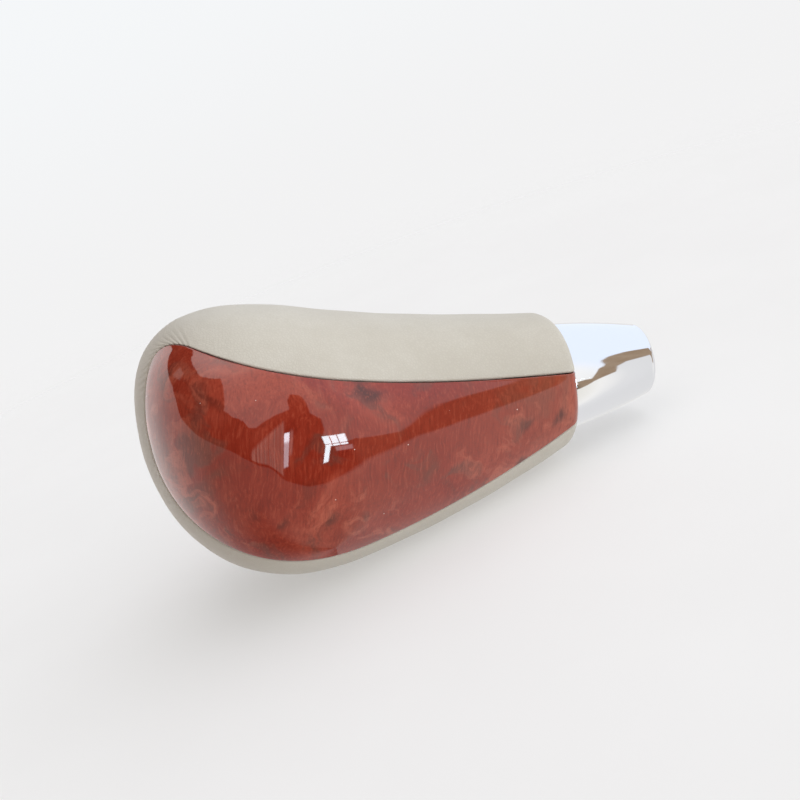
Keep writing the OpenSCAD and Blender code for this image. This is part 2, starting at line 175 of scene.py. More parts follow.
def trim(j, s, off):
    """The panel's outline in the side view, set in by off as measured on the surface."""
    return edge_line(j, s, off * squareness(*edge_line(j, s, 0.0)))


def outline(j, s):
    start = math.asin(max(0.0, (turn_z(s) - SHOULDER_Z) / HEAD_H) ** (HEAD_ROUND / 2))
    a = blend(start, math.pi / 2, tip_share(j))
    wall = j <= ROLL_ROWS + WALL_ROWS
    z = np.where(wall, wall_z(j, s), SHOULDER_Z + HEAD_H * np.sin(a) ** (2 / HEAD_ROUND))
    rounding = np.where(wall, dome(z, HEAD_ROUND), np.abs(np.cos(a)) ** (2 / HEAD_ROUND))
    return centre_x(z) + s * (half_depth(z) - roll_in(z, 0.0)) * rounding, z


def laid(x, z):
    s, c = math.sin(DIP), math.cos(DIP)
    return x * s - z * c, x * c + z * s


def ends():
    """Shift that puts the laid knob on z = 0 and centres it, measured as the source does."""
    j = np.arange(LAST_ROW + 1.0)
    points = []
    for s in (-1, 1):
        (mid_x, mid_z), (rim_x, rim_z) = outline(j, s), trim(j, s, -SEAM_GAP / 2)
        flat = STRIP_FLAT**2
        points.append(laid(blend(mid_x, rim_x, flat), blend(mid_z, rim_z, flat)))
    low = min(p[1].min() for p in points)
    head = min(p[0].min() for p in points)
    collar = laid(COLLAR_MOUTH_R - RIM_R, RIM_R - COLLAR_LEN)[0] + RIM_R
    return -(head + collar) / 2, -low


SHIFT_X, SHIFT_Z = ends()


def to_row(p):
    """Points of the upright knob in millimetres to the row's frame in metres."""
    x, z = laid(p[..., 0], p[..., 2])
    return np.stack([x + SHIFT_X, p[..., 1], z + SHIFT_Z], -1) * 0.001


# Helpers for meshes


def make_mesh(name, points, faces, material):
    """A smooth mesh object that rides on the body."""
    mesh = bpy.data.meshes.new(name)
    mesh.from_pydata(points.reshape(-1, 3).tolist(), [], faces)
    mesh.validate()
    mesh.polygons.foreach_set("use_smooth", [True] * len(mesh.polygons))
    mesh.materials.append(material)
    mesh.update()
    piece = bpy.data.objects.new(name, mesh)
    bpy.context.scene.collection.objects.link(piece)
    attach(piece, "root")
    return piece


def grid_faces(rows, cols, start=0, wrap=False):
    r, c = np.meshgrid(np.arange(rows - 1), np.arange(cols if wrap else cols - 1), indexing="ij")
    n = (c + 1) % cols
    quads = np.stack([r * cols + c, r * cols + n, (r + 1) * cols + n, (r + 1) * cols + c], -1)
    return (quads.reshape(-1, 4) + start).tolist()


def flipped(faces):
    return [f[::-1] for f in faces]


def normals(grid):
    """Unit normals of a grid of points, by central differences."""
    along = np.gradient(grid, axis=0)
    across = np.gradient(grid, axis=1)
    n = np.cross(along, across)
    return n / np.maximum(np.linalg.norm(n, axis=-1, keepdims=True), 1e-9)


# Helpers for materials


def add(tree, kind, inputs=None, **settings):
    """A new node with its settings, and with each input linked to a socket or set to a value."""
    n = tree.nodes.new(kind)
    for key, value in settings.items():
        setattr(n, key, value)
    for key, value in (inputs or {}).items():
        if isinstance(value, bpy.types.NodeSocket):
            tree.links.new(value, n.inputs[key])
        else:
            n.inputs[key].default_value = value
    return n


def calc(tree, operation, a, b=0.0, c=None):
    inputs = {0: a, 1: b}
    if c is not None:
        inputs[2] = c
    return add(tree, "ShaderNodeMath", inputs, operation=operation).outputs[0]


def span(tree, value, low, high, to_low=0.0, to_high=1.0, smooth=True):
    """Maps low..high to to_low..to_high, clamped, with soft ends."""
    inputs = {
        "Value": value, "From Min": low, "From Max": high, "To Min": to_low, "To Max": to_high,
    }
    kind = "SMOOTHSTEP" if smooth else "LINEAR"
    return add(tree, "ShaderNodeMapRange", inputs, interpolation_type=kind).outputs[0]


def mix(tree, factor, a, b, how="MIX"):
    """Two colours mixed; each of the three inputs is a socket or a value."""
    n = add(tree, "ShaderNodeMix", data_type="RGBA", blend_type=how)
    for index, value in ((0, factor), (6, a), (7, b)):
        if isinstance(value, bpy.types.NodeSocket):
            tree.links.new(value, n.inputs[index])
        elif index == 0:
            n.inputs[0].default_value = value
        else:
            n.inputs[index].default_value = (*value, 1.0)
    return n.outputs[2]


def product(tree, *factors):
    out = factors[0]
    for factor in factors[1:]:
        out = calc(tree, "MULTIPLY", out, factor)
    return out


def inverse(tree, value):
    return calc(tree, "SUBTRACT", 1.0, value)


def stained(tree, tone, mask, low, high, strength, colour):
    """A tone with a colour over it, by up to strength where a mask runs from low to high."""
    return mix(tree, span(tree, mask, low, high, 0.0, strength), tone, colour)


def ramp(tree, factor, stops, how="EASE"):
    """A colour from a factor, by stops of place and colour."""
    n = add(tree, "ShaderNodeValToRGB", {"Fac": factor})
    n.color_ramp.interpolation = how
    elements = n.color_ramp.elements
    while len(elements) < len(stops):
        elements.new(0.5)
    for element, (place, colour) in zip(elements, stops):
        element.position = place
        element.color = (*colour, 1.0)
    return n.outputs["Color"]


def noise(tree, vector, scale, detail=2.0, roughness=0.5, distortion=0.0):
    inputs = {
        "Vector": vector, "Scale": scale, "Detail": detail,
        "Roughness": roughness, "Distortion": distortion,
    }
    return add(tree, "ShaderNodeTexNoise", inputs)


def cells(tree, vector, scale, feature="F1"):
    return add(tree, "ShaderNodeTexVoronoi", {"Vector": vector, "Scale": scale}, feature=feature)


def bump(tree, height, strength, distance):
    inputs = {"Height": height, "Strength": strength, "Distance": distance}
    return add(tree, "ShaderNodeBump", inputs).outputs[0]


def shifted(tree, vector, colour, reach):
    """A vector moved by a noise colour, up to half of reach in mm each way."""
    centred = add(
        tree, "ShaderNodeVectorMath", {0: colour, 1: (0.5, 0.5, 0.5)}, operation="SUBTRACT"
    )
    scaled = add(
        tree, "ShaderNodeVectorMath", {0: centred.outputs[0], 1: (reach,) * 3}, operation="MULTIPLY"
    )
    inputs = {0: vector, 1: scaled.outputs[0]}
    return add(tree, "ShaderNodeVectorMath", inputs, operation="ADD").outputs[0]


def place_along(tree, vector):
    """Place along the knob, from the head at about -58 mm to the collar's mouth at 58 mm."""
    return add(tree, "ShaderNodeSeparateXYZ", {0: vector}).outputs[0]


def material(name, **values):
    """A Principled material with constant inputs, its tree, its shader and coordinates in mm."""
    m = bpy.data.materials.new(name)
    m.use_nodes = True
    tree = m.node_tree
    shader = tree.nodes["Principled BSDF"]
    for key, value in values.items():
        shader.inputs[key.replace("_", " ")].default_value = value
    place = add(tree, "ShaderNodeTexCoord").outputs["Object"]
    millimetres = add(
        tree, "ShaderNodeVectorMath", {0: place, 1: (1000.0, 1000.0, 1000.0)}, operation="MULTIPLY"
    ).outputs[0]
    return m, tree, shader, millimetres


def leather_material():
    """Fine grain with pores in cloudy beige, and painted shade round the end of the head."""
    m, tree, shader, p = material(
        "leather_beige", Specular_IOR_Level=0.35, Sheen_Weight=0.12, Sheen_Roughness=0.45
    )
    grain = cells(tree, p, 1.5, "DISTANCE_TO_EDGE").outputs["Distance"]
    grain = span(tree, grain, 0.0, 0.28)
    pores = noise(tree, p, 3.2, 3.0, 0.6).outputs[0]
    slow = noise(tree, p, 0.05, 3.0, 0.55).outputs[0]
    cloudy = noise(tree, p, 0.35, 4.0, 0.6).outputs[0]
    tone = ramp(tree, slow, [(0.3, (0.515, 0.479, 0.408)), (0.7, (0.552, 0.519, 0.450))])
    tone = stained(tree, tone, cloudy, 0.35, 0.7, 0.30, (0.485, 0.450, 0.380))
    # Painted shade: the leather is darkened towards the end of the head, where it faces away from
    # the light and its pleats fall in shade
    tone = stained(tree, tone, place_along(tree, p), -34.0, -56.0, 0.8, (0.375, 0.318, 0.258))
    tone = mix(tree, span(tree, grain, 0.0, 1.0, 0.20, 0.0), tone, (0.40, 0.36, 0.30))
    tree.links.new(tone, shader.inputs["Base Color"])
    rough = span(tree, pores, 0.3, 0.7, 0.52, 0.66)
    tree.links.new(rough, shader.inputs["Roughness"])
    fine = calc(tree, "ADD", calc(tree, "MULTIPLY", grain, 0.6), calc(tree, "MULTIPLY", pores, 0.5))
    height = calc(tree, "ADD", fine, calc(tree, "MULTIPLY", cloudy, 0.8))
    tree.links.new(bump(tree, height, 0.28, 0.00012), shader.inputs["Normal"])
    return m


def wood_material():
    """Burl under clear lacquer: soft patches, swirls, a few eyes, and fine fibres up the panel."""
    m, tree, shader, p = material(
        "burl_wood", Specular_IOR_Level=0.0, Coat_Weight=1.0, Coat_Roughness=0.006, Coat_IOR=1.58
    )
    q = shifted(tree, p, noise(tree, p, 0.045, 3.0, 0.5).outputs["Color"], 30.0)
    q = shifted(tree, q, noise(tree, p, 0.22, 3.0, 0.55).outputs["Color"], 4.0)
    patches = noise(tree, q, 0.05, 3.0, 0.5, 0.4).outputs[0]
    tone = ramp(
        tree, patches,
        [(0.34, (0.175, 0.030, 0.017)), (0.45, (0.225, 0.021, 0.010)),
         (0.55, (0.250, 0.027, 0.013)), (0.68, (0.310, 0.046, 0.025))],
    )
    smoky = noise(tree, q, 0.10, 3.0, 0.5, 0.6).outputs[0]
    tone = stained(tree, tone, smoky, 0.53, 0.68, 0.7, (0.140, 0.042, 0.029))

    # Swirls, in some areas only
    area = span(tree, noise(tree, p, 0.034, 2.0, 0.5).outputs[0], 0.46, 0.58)
    swirl = noise(tree, q, 0.10, 3.0, 0.45, 1.8).outputs[0]
    flame = product(tree, span(tree, swirl, 0.50, 0.68, 0.0, 0.75), area)
    tone = mix(tree, flame, tone, (0.42, 0.095, 0.055))
    feather = calc(tree, "SINE", calc(tree, "MULTIPLY", swirl, 95.0))
    feather = product(tree, span(tree, feather, 0.2, 1.0, 0.0, 0.3), area)
    tone = mix(tree, feather, tone, (0.17, 0.022, 0.011))
    tone = stained(tree, tone, place_along(tree, p), -5.0, 45.0, 0.42, (0.40, 0.105, 0.055))

    eyes = cells(tree, q, 0.10).outputs["Distance"]
    knots = span(tree, noise(tree, p, 0.045, 2.0, 0.5).outputs[0], 0.52, 0.62)
    eyes = product(tree, span(tree, eyes, 0.34, 0.08, 0.0, 0.75), knots)
    tone = mix(tree, eyes, tone, (0.040, 0.013, 0.010))

    # Fibres run up the panel, which leans by 0.41 radians
    fine = add(
        tree, "ShaderNodeMapping",
        {"Vector": shifted(tree, p, noise(tree, p, 0.15, 2.0, 0.5).outputs["Color"], 2.5),
         "Rotation": (0.0, 0.41, 0.0), "Scale": (0.42, 0.42, 5.5)},
        vector_type="TEXTURE",
    ).outputs[0]
    fibre = noise(tree, fine, 1.0, 3.0, 0.6).outputs[0]
    tone = stained(tree, tone, fibre, 0.50, 0.72, 0.32, (0.46, 0.095, 0.050))
    tone = stained(tree, tone, fibre, 0.50, 0.30, 0.38, (0.120, 0.014, 0.008))

    # A few specks of dust under the lacquer
    dust = cells(tree, p, 0.33)
    chosen = span(tree, dust.outputs["Color"], 0.62, 0.66)
    specks = product(tree, span(tree, dust.outputs["Distance"], 0.05, 0.03), chosen)
    tone = mix(tree, specks, tone, (0.80, 0.62, 0.55))
    tree.links.new(tone, shader.inputs["Base Color"])
    tree.links.new(span(tree, fibre, 0.3, 0.7, 0.42, 0.55), shader.inputs["Roughness"])
    wave = noise(tree, p, 0.06, 1.0, 0.4).outputs[0]
    tree.links.new(bump(tree, wave, 0.15, 0.0004), shader.inputs["Coat Normal"])
    return m


def chrome_material():
    """Plated metal with a slight haze and a faint wave."""
    m, tree, shader, p = material("chrome", Metallic=1.0, Base_Color=(0.80, 0.82, 0.86, 1.0))
    haze = noise(tree, p, 0.35, 4.0, 0.6).outputs[0]
    tree.links.new(span(tree, haze, 0.35, 0.7, 0.025, 0.07), shader.inputs["Roughness"])
    wave = noise(tree, p, 0.08, 2.0, 0.5).outputs[0]
    tree.links.new(bump(tree, wave, 0.2, 0.0002), shader.inputs["Normal"])
    return m


def metal_material(name, colour, rough_low, rough_high, turned):
    """Machined metal, with fine tool marks across the axis where turned is set."""
    m, tree, shader, p = material(name, Metallic=1.0)
    stain = noise(tree, p, 0.5, 4.0, 0.6).outputs[0]
    dull = tuple(0.72 * c for c in colour)
    tone = stained(tree, colour, stain, 0.4, 0.75, 0.6, dull)
    tree.links.new(tone, shader.inputs["Base Color"])
    tree.links.new(span(tree, stain, 0.3, 0.7, rough_low, rough_high), shader.inputs["Roughness"])
    scale = (5.0, 0.6, 0.6) if turned else (1.5, 1.5, 1.5)
    marks = add(tree, "ShaderNodeMapping", {"Vector": p, "Scale": scale}).outputs[0]
    marks = noise(tree, marks, 1.0, 3.0, 0.6).outputs[0]
    tree.links.new(bump(tree, marks, 0.3, 0.00006), shader.inputs["Normal"])
    return m


def plastic_material(name, colour, rough):
    """Moulded plastic with a fine spark-eroded texture."""
    m, tree, shader, p = material(name, Specular_IOR_Level=0.4)
    spark = noise(tree, p, 4.0, 3.0, 0.65).outputs[0]
    slow = noise(tree, p, 0.12, 2.0, 0.5).outputs[0]
    light = tuple(min(1.0, 1.35 * c + 0.01) for c in colour)
    tone = stained(tree, colour, slow, 0.35, 0.7, 1.0, light)
    tree.links.new(tone, shader.inputs["Base Color"])
    uneven = span(tree, spark, 0.3, 0.7, rough - 0.07, rough + 0.07)
    tree.links.new(uneven, shader.inputs["Roughness"])
    tree.links.new(bump(tree, spark, 0.4, 0.00008), shader.inputs["Normal"])
    return m


def floor_material():
    """Pale floor that gives off a little light and thins out between 170 and 420 mm."""
    m, tree, shader, p = material("pale_floor", Specular_IOR_Level=0.1)
    cloudy = noise(tree, p, 0.02, 3.0, 0.5).outputs[0]
    tone = stained(tree, (0.566, 0.562, 0.558), cloudy, 0.35, 0.7, 1.0, (0.578, 0.575, 0.571))
    tree.links.new(tone, shader.inputs["Base Color"])
    shader.inputs["Roughness"].default_value = 0.8
    shader.inputs["Emission Color"].default_value = (0.88, 0.875, 0.872, 1.0)
    shader.inputs["Emission Strength"].default_value = 0.38
    away = add(tree, "ShaderNodeVectorMath", {0: p}, operation="LENGTH").outputs["Value"]
    clear = add(tree, "ShaderNodeBsdfTransparent").outputs[0]
    faded = add(
        tree, "ShaderNodeMixShader",
        {0: span(tree, away, 170.0, 420.0), 1: shader.outputs[0], 2: clear},
    ).outputs[0]
    tree.links.new(faded, tree.nodes["Material Output"].inputs["Surface"])
    return m


MATERIALS = {
    "leather": leather_material(),
    "burl_wood": wood_material(),
    "chrome": chrome_material(),
    "insert_brass": metal_material("insert_brass", (0.78, 0.58, 0.27), 0.22, 0.40, True),
    "screw_steel": metal_material("screw_steel", (0.56, 0.56, 0.57), 0.28, 0.42, False),
    "spring_steel": metal_material("spring_steel", (0.50, 0.50, 0.52), 0.25, 0.38, False),
    "carrier_plastic": plastic_material("carrier_plastic", (0.022, 0.018, 0.016), 0.55),
    "core_plastic": plastic_material("core_plastic", (0.018, 0.016, 0.015), 0.6),
    "bush_rubber": plastic_material("bush_rubber", (0.012, 0.012, 0.012), 0.72),
}


# Pieces


def pleat_depth(s, wide, sideways):
    """Height of the pleats in mm at s along the strip from the crown, and at wide from its middle.

    The pleats run square to the seam and are strongest beside it, round the end of the head.
    """
    reach = np.exp(-(((s + 4) / 30) ** 4))
    ridge = np.abs(np.sin(s * 2.10 + 0.9 * np.sin(s * 0.31) + 0.35 * wide))
    pleats = 1.3 * ridge**0.7 - 0.9 + 0.25 * np.sin(s * 4.3 + 0.4)
    slack = 0.035 * np.sin(s * 0.42 + 0.6 * np.sin(sideways))
    return 0.16 * reach * wide**1.3 * pleats + slack


def leather_wrap():
    """The strip round the body, with rolled edges beside the panels and pleats over the head."""
    fine = np.concatenate([
        np.linspace(0, ROLL_ROWS, 13)[:-1],
        np.linspace(ROLL_ROWS, ROLL_ROWS + WALL_ROWS, 131)[:-1],
        np.linspace(ROLL_ROWS + WALL_ROWS, LAST_ROW, 172)[:-1],
    ])
    neck_row, crown_row = np.array([0.0]), np.array([float(LAST_ROW)])
    roll, inset = 0.45, 0.12
    edge = np.radians(np.linspace(90, 0, 7))
    # Columns from the middle of the strip out to the seam, then down into the gap
    cols = [(w, inset + roll, 0.0) for w in np.linspace(0, 1, 26)[:-1]]
    seam_col = len(cols)
    cols += [(1.0, inset + roll * (1 - math.cos(a)), roll * (1 - math.sin(a))) for a in edge]
    cols += [(1.0, inset, LEATHER_T)]

    def half(s, rows, extra):
        out = []
        for w, off, e in cols:
            mid_x, mid_z = outline(rows, s)
            rim_x, rim_z = trim(rows, s, -off)
            x, z = blend(mid_x, rim_x, w * w), blend(mid_z, rim_z, w * w)
            k = np.full_like(x, s) if w == 0 else depth_share(x, z)
            out.append(skin(k, z, np.float64(e), LAND_IN, extra))
        return np.stack(out, 1)

    near = np.concatenate([
        half(1, neck_row, TUCK), half(1, fine, 0.0), half(1, crown_row, 0.0),
        half(-1, fine[::-1], 0.0), half(-1, neck_row, TUCK),
    ])
    far = near[:, 1:] * np.array([1, -1, 1])
    strip = np.concatenate([near[:, ::-1], far], 1)
    rows, width = strip.shape[:2]

    seam = near[:, seam_col - 1]
    along = np.concatenate([[0], np.cumsum(np.linalg.norm(np.diff(seam, axis=0), axis=1))])
    crown = along[1 + len(fine)]
    wide = np.abs(np.linspace(-1, 1, width))[None, :]
    depth = pleat_depth((along - crown)[:, None], wide, np.linspace(0, 9, width)[None, :])
    n = normals(strip)
    centre = np.array([0.0, 0.0, 45.0])
    outward = np.sign(np.sum(n * (strip - centre), axis=-1, keepdims=True))
    strip = to_row(strip + n * np.where(outward == 0, 1, outward) * depth[..., None])
    strip[..., 2] = np.maximum(strip[..., 2], 0.0)

    faces = flipped(grid_faces(rows, width))
    piece = make_mesh("leather_strip", strip, faces, MATERIALS["leather"])
    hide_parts("leather_wrap")


def wood_panel(side):
    """A lacquered panel, as rings from its rounded edge in to its middle.

    The side is -1 for the right panel and 1 for the left one, which mirrors it.
    """
    j = np.concatenate([
        np.linspace(0, ROLL_ROWS, 9)[:-1],
        np.linspace(ROLL_ROWS, ROLL_ROWS + WALL_ROWS, 71)[:-1],
        np.linspace(ROLL_ROWS + WALL_ROWS, LAST_ROW, 121),
    ])
    foot = np.linspace(0, 1, 26)[1:-1]
    roll, inset, wall_depth = 0.3, 0.18, 0.9

    def ring(off, e):
        spine_a, spine_b = trim(j, 1, off)
        belly_a, belly_b = trim(j, -1, off)
        x = np.concatenate([spine_a, belly_a[::-1][1:], blend(belly_a[0], spine_a[0], foot)])
        z = np.concatenate([spine_b, belly_b[::-1][1:], blend(belly_b[0], spine_b[0], foot)])
        return x, z, e

    rings = [ring(inset, VENEER_T), ring(inset, wall_depth)]
    for a in np.radians(np.linspace(0, 90, 7)):
        rings.append(ring(inset + roll * (1 - math.cos(a)), roll * (1 - math.sin(a))))
    points = [skin(depth_share(x, z), z, np.float64(e), e) for x, z, e in rings]
    rim_x, rim_z, _ = rings[-1]
    # The face closes in on a point near its middle
    mid_x, mid_z = 0.0, 50.0
    for t in 1 - np.linspace(0, 1, 60)[1:-1] ** 1.1:
        x, z = blend(mid_x, rim_x, t), blend(mid_z, rim_z, t)
        points.append(skin(depth_share(x, z), z, np.float64(0.0), 0.0))
    grid = np.stack(points)
    middle = skin(depth_share(mid_x, mid_z), np.float64(mid_z), np.float64(0.0), 0.0)
    rows, cols = grid.shape[:2]
    last = (rows - 1) * cols
    faces = grid_faces(rows, cols, wrap=True)
    faces += [[last + c, last + (c + 1) % cols, rows * cols] for c in range(cols)]
    cloud = np.concatenate([grid.reshape(-1, 3), middle.reshape(1, 3)])
    if side > 0:
        cloud = cloud * np.array([1, -1, 1])
        faces = flipped(faces)
    name = "left" if side > 0 else "right"
    piece = make_mesh(name + "_burl_panel", to_row(cloud), faces, MATERIALS["burl_wood"])
    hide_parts(name + "_wood_panel")


def turned(name, profile, steps, material_slot, node):
    """A body of revolution about the lever axis, from a closed profile of radius and height."""
    a = np.linspace(0, 2 * math.pi, steps, endpoint=False)
    r, z = np.array(profile).T
    grid = np.stack([
        r[:, None] * np.cos(a), r[:, None] * np.sin(a), np.repeat(z[:, None], steps, 1)
    ], -1)
    grid = np.concatenate([grid, grid[:1]])
    faces = grid_faces(len(profile) + 1, steps, wrap=True)
    piece = make_mesh(name, to_row(grid), faces, MATERIALS[material_slot])
    weld = piece.modifiers.new("weld", "WELD")
    weld.merge_threshold = 1e-7
    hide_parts(node)


def eased(corner, before, after, radius):
    """Points round one corner of a profile, by a quadratic curve."""
    c, b, a = (np.array(v, float) for v in (corner, before, after))
    start = c + (b - c) / np.linalg.norm(b - c) * radius
    end = c + (a - c) / np.linalg.norm(a - c) * radius
    t = np.linspace(0, 1, 4)[:, None]
    return ((1 - t) ** 2 * start + 2 * t * (1 - t) * c + t**2 * end).tolist()


def softened(corners, radii):
    """A profile with each corner rounded by its own radius, or left sharp at 0."""
    out = []
    for i, (corner, radius) in enumerate(zip(corners, radii)):
        if radius:
            out += eased(corner, corners[i - 1], corners[(i + 1) % len(corners)], radius)
        else:
            out.append(list(corner))
    return out


def chrome_collar():
    """The collar: a swelling cone with a round rim, and the bore and spigot inside."""
    t = np.linspace(0, 1, 60)
    straight = COLLAR_LEN - RIM_R
    side = blend(COLLAR_TOP_R, COLLAR_MOUTH_R, t) + 4 * COLLAR_SWELL * t * (1 - t)
    outer = np.stack([side, -straight * t], -1).tolist()
    rim = [
        [COLLAR_MOUTH_R - RIM_R + RIM_R * math.cos(a), -straight - RIM_R * math.sin(a)]
        for a in np.radians(np.linspace(0, 90, 12))[1:]
    ]
    lip_z, seat_r = 1 - COLLAR_LEN, BUSH_R + FIT
    seat_z = lip_z + BUSH_LEN + FIT
    inner = softened(
        [(LIP_R, -COLLAR_LEN), (LIP_R, lip_z), (seat_r, lip_z), (seat_r, seat_z),
         (COLLAR_BORE_R, seat_z + 1.5), (COLLAR_BORE_R, SPIGOT_H),
         (SPIGOT_R, SPIGOT_H), (SPIGOT_R, LAND_IN), (BOSS_R, LAND_IN), (BOSS_R, 0)],
        [0.25, 0.2, 0, 0.1, 0.3, 0.3, 0.3, 0.1, 0.1, 0],
    )
    turned("collar_shell", outer + rim + inner, 192, "chrome", "chrome_collar")


def threaded_insert():
    """Brass insert: a turned body with a hexagon, and a blind hole with a cut thread."""
    steps = 96
    a = np.linspace(0, 2 * math.pi, steps, endpoint=False)
    edge, tip_r = 0.3, 0.001
    hex_edge, mouth_r = 0.25, THREAD_R + 1.05

    def loop(r, z):
        return np.stack([r * np.cos(a), r * np.sin(a), np.full(steps, z)], -1)

    def hexagon(z, grow):
        turn = (a % (math.pi / 3)) - math.pi / 6
        return loop((HEX_FLATS / 2 + grow) / np.cos(turn), z)

    def thread(z):
        phase = ((z - foot) / THREAD_PITCH + a / (2 * math.pi)) % 1
        groove = np.clip(1 - np.abs(phase - 0.5) / 0.42, 0, 1)
        runs_out = min(1.0, (hole_top - z) / THREAD_PITCH)
        return loop(THREAD_R + THREAD_DEPTH * groove * runs_out, z)

    foot, hex_low = INSERT_Z, INSERT_Z + HEX_RISE
    hex_high, end = hex_low + HEX_H, INSERT_Z + INSERT_LEN
    hole_top = foot + 1 + THREAD_LEN
    drill_tip = hole_top + THREAD_R * math.tan(math.radians(31))
    levels = np.linspace(hole_top, foot + 1, int(THREAD_LEN / THREAD_PITCH * 8))

    # From the drilled tip down the hole, out at the foot, and up the outside to the top
    grid = np.stack([
        loop(tip_r, drill_tip), *map(thread, levels),
        loop(mouth_r - 0.1, foot + 0.05), loop(mouth_r, foot),
        loop(INSERT_R - edge, foot), loop(INSERT_R, foot + edge), loop(INSERT_R, hex_low),
        hexagon(hex_low, -hex_edge), hexagon(hex_low + hex_edge, 0),
        hexagon(hex_high - hex_edge, 0), hexagon(hex_high, -hex_edge),
        loop(INSERT_R, hex_high), loop(INSERT_R, end - edge), loop(INSERT_R - edge, end),
        loop(tip_r, end),
    ])
    faces = grid_faces(*grid.shape[:2], wrap=True)
    piece = make_mesh("brass_insert", to_row(grid), faces, MATERIALS["insert_brass"])
    split = piece.modifiers.new("edges", "EDGE_SPLIT")
    split.split_angle = math.radians(38)
    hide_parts("threaded_insert")


leather_wrap()
wood_panel(-1)
wood_panel(1)
chrome_collar()
threaded_insert()

slots = {s["node"]: s["material_slot"] for s in frame["record"]["subparts"]}
for name, piece in nodes.items():
    piece.data.materials.clear()
    piece.data.materials.append(MATERIALS[slots[name]])


# Camera, at the photograph's angle, from a perspective fit to the knob's outline

PHOTO_PX, SENSOR_MM = 800, 36.0
FOCAL_PX, ALPHA, RHO, SIGMA = 1150.0, math.radians(16), math.radians(15), math.radians(11.97)
OFFSET = Vector((35.52, 5.29, -268.85))


def place_camera():
    """A camera at the fitted place, which is stated on the upright knob and laid down with it."""
    base = Matrix(((0, 0, -1), (1, 0, 0), (0, -1, 0)))
    turn = (
        Matrix.Rotation(SIGMA, 3, "Z") @ Matrix.Rotation(RHO, 3, "Y")
        @ Matrix.Rotation(ALPHA, 3, "X") @ base
    )
    s, c = math.sin(DIP), math.cos(DIP)
    lay = Matrix(((s, 0, -c), (0, 1, 0), (c, 0, s)))
    shift = Vector((SHIFT_X, 0, SHIFT_Z))
    spot = lay @ (-(turn.transposed() @ OFFSET)) + shift
    camera = bpy.data.objects.new("camera", bpy.data.cameras.new("camera"))
    camera.data.sensor_width = SENSOR_MM
    camera.data.lens = SENSOR_MM * FOCAL_PX / PHOTO_PX
    camera.data.clip_start, camera.data.clip_end = 0.01, 20.0
    camera.matrix_world = Matrix.Translation(spot * 0.001) @ (lay @ turn.transposed()).to_4x4()
    bpy.context.scene.collection.objects.link(camera)
    bpy.context.scene.camera = camera


def area_light(name, spot, target, size, power, colour):
    """An area light at a spot, turned to a target, that isn't seen in reflections."""
    light = bpy.data.lights.new(name, "AREA")
    light.shape = "RECTANGLE"
    light.size, light.size_y = size
    light.energy = power
    light.color = colour
    lamp = bpy.data.objects.new(name, light)
    lamp.location = spot
    lamp.rotation_euler = (Vector(target) - Vector(spot)).to_track_quat("-Z", "Y").to_euler()
    lamp.visible_glossy = False
    bpy.context.scene.collection.objects.link(lamp)


def floor():
    """A round floor that isn't seen in reflections."""
    mesh = bpy.data.meshes.new("floor")
    r, n = 0.9, 64
    turns = [2 * math.pi * i / n for i in range(n)]
    ring = [(r * math.cos(a), r * math.sin(a), 0) for a in turns]
    mesh.from_pydata(ring, [], [list(range(n))])
    mesh.materials.append(floor_material())
    plane = bpy.data.objects.new("floor", mesh)
    plane.visible_glossy = False
    bpy.context.scene.collection.objects.link(plane)


# The room that polished surfaces mirror, painted over azimuth and elevation in degrees:
# azimuth 0 is toward -y and 90 toward x

UP_DOWN, ALL_ROUND = (-90.0, 90.0), (-180.0, 180.0)


def curve(tree, value, stops, low=0.0, high=3.0):
    """A level over a value, in straight stretches between stops."""
    first, last = stops[0][0], stops[-1][0]
    greys = [((x - first) / (last - first), ((y - low) / (high - low),) * 3) for x, y in stops]
    grey = ramp(tree, span(tree, value, first, last, smooth=False), greys, "LINEAR")
    return calc(tree, "MULTIPLY_ADD", grey, high - low, low)


def between(tree, value, low, high, soft):
    """1 where a value lies between low and high, falling to 0 over soft on each side."""
    rising = span(tree, value, low - soft, low + soft)
    return product(tree, rising, span(tree, value, high + soft, high - soft))


def below(tree, value, line, soft):
    """1 where a value lies below a line, falling to 0 over soft on each side."""
    return span(tree, calc(tree, "SUBTRACT", line, value), -soft, soft)


def either(tree, a, b):
    return calc(tree, "MAXIMUM", a, b)


def broken(tree, value, speck, reach):
    """A value broken up by a noise channel, up to half of reach each way."""
    return calc(tree, "ADD", value, calc(tree, "MULTIPLY_ADD", speck, reach, -reach / 2))


def slanted(tree, az, el, az_share, el_share):
    return calc(tree, "MULTIPLY_ADD", el, el_share, calc(tree, "MULTIPLY", az, az_share))


def tinted(tree, level, colour):
    return mix(tree, 1.0, level, colour, "MULTIPLY")


def pale_room(tree, az, el, on_table):
    """Walls that brighten upwards, above a table that is brightest at the head's end."""
    wall = curve(tree, el, [
        (-90, 1.0), (20, 1.15), (45, 1.1), (56, 1.35), (66, 1.9), (78, 2.5), (90, 2.6),
    ])
    wall = tinted(tree, wall, (1.0, 0.98, 0.95))
    wall = mix(tree, span(tree, az, 38.0, 52.0), wall, (1.02, 1.09, 1.22))
    table = curve(tree, az, [
        (-180, 1.1), (-165, 1.6), (-148, 2.40), (-124, 2.30), (-112, 1.90), (-100, 1.50),
        (-88, 1.20), (-76, 0.92), (-64, 0.66), (-52, 0.53), (-40, 0.48), (-4, 0.50), (8, 0.56),
        (20, 0.68), (32, 0.98), (40, 1.10), (48, 0.92), (60, 0.88), (180, 0.88),
    ])
    sunk = either(tree, span(tree, el, -62.0, -14.0, 0.3, 1.0), span(tree, az, -60.0, -30.0))
    warm = mix(tree, between(tree, az, -75.0, 39.0, 12.0), (1.0, 0.98, 0.96), (1.0, 0.95, 0.85))
    table = tinted(tree, product(tree, table, sunk), warm)
    return mix(tree, on_table, wall, table)


